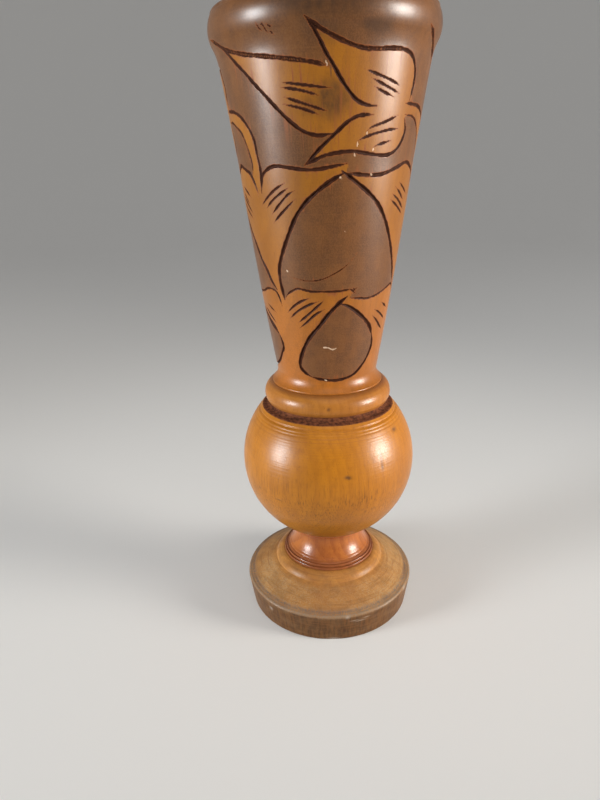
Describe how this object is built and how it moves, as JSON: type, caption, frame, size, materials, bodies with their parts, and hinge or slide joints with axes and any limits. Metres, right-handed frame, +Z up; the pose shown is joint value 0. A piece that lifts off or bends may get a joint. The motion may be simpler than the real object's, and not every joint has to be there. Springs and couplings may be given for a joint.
{
  "type": "wooden chalice",
  "caption": "Tall turned wooden goblet: a disc foot, short waisted stem, ball knop and bead collar under a deep flared cup with a rolled lip.",
  "frame": {"origin": "centre of the underside, on the surface it stands on", "axes": "+Z up along the turning axis, out of the cup's mouth; the side seen first faces -Y, with +X to the right"},
  "size_m": [0.1022, 0.1022, 0.3047],
  "materials": {
    "foot_wood": "worn satin varnish, dusty on top",
    "stem_wood": "polished red-brown stain",
    "turned_wood": "satin varnish over pale orange-brown wood",
    "carved_wood": "satin varnish, partly stained dark brown between carved lines",
    "dowel_wood": "bare hardwood"
  },
  "bodies": {
    "root": {"foot": "foot_wood", "stem": "stem_wood", "stem_dowel": "dowel_wood", "knop": "turned_wood", "collar": "turned_wood", "bowl_dowel": "dowel_wood", "bowl": "carved_wood"}
  },
  "joints": []
}
